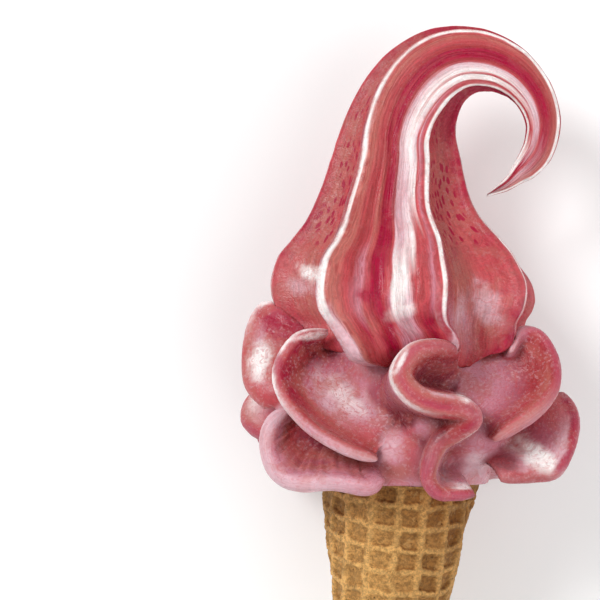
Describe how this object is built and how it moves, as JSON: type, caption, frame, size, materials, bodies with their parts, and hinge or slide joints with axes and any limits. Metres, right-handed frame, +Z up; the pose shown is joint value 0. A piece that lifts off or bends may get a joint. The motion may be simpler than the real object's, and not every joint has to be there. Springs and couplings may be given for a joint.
{
  "type": "ice cream cone",
  "caption": "Soft serve ice cream lying on its back: a ridged plume that ends in a curl, on a ruffle of folded ribbon, in a pointed rolled wafer cone.",
  "frame": {"origin": "on the small flat spot of the ruffle that the part rests on, straight below the ice cream's axis", "axes": "+Z up, out of the side that shows; +Y along the ice cream from the cone's tip to the curl; +X to the right as it is looked down on with the curl at the top"},
  "size_m": [0.1016, 0.244, 0.0896],
  "materials": {
    "wafer": "baked wafer, dry and matte, golden on the ribs and browner in the squares and on the right",
    "ruffle_ice": "pink ice cream, moist, with brick red and crimson ripple along the rims",
    "plume_ice": "pink ice cream, moist, with lengthwise ripple of crimson and coral and white ridge edges"
  },
  "bodies": {
    "root": {"cone": "wafer", "ruffle": "ruffle_ice", "plume": "plume_ice"}
  },
  "joints": []
}
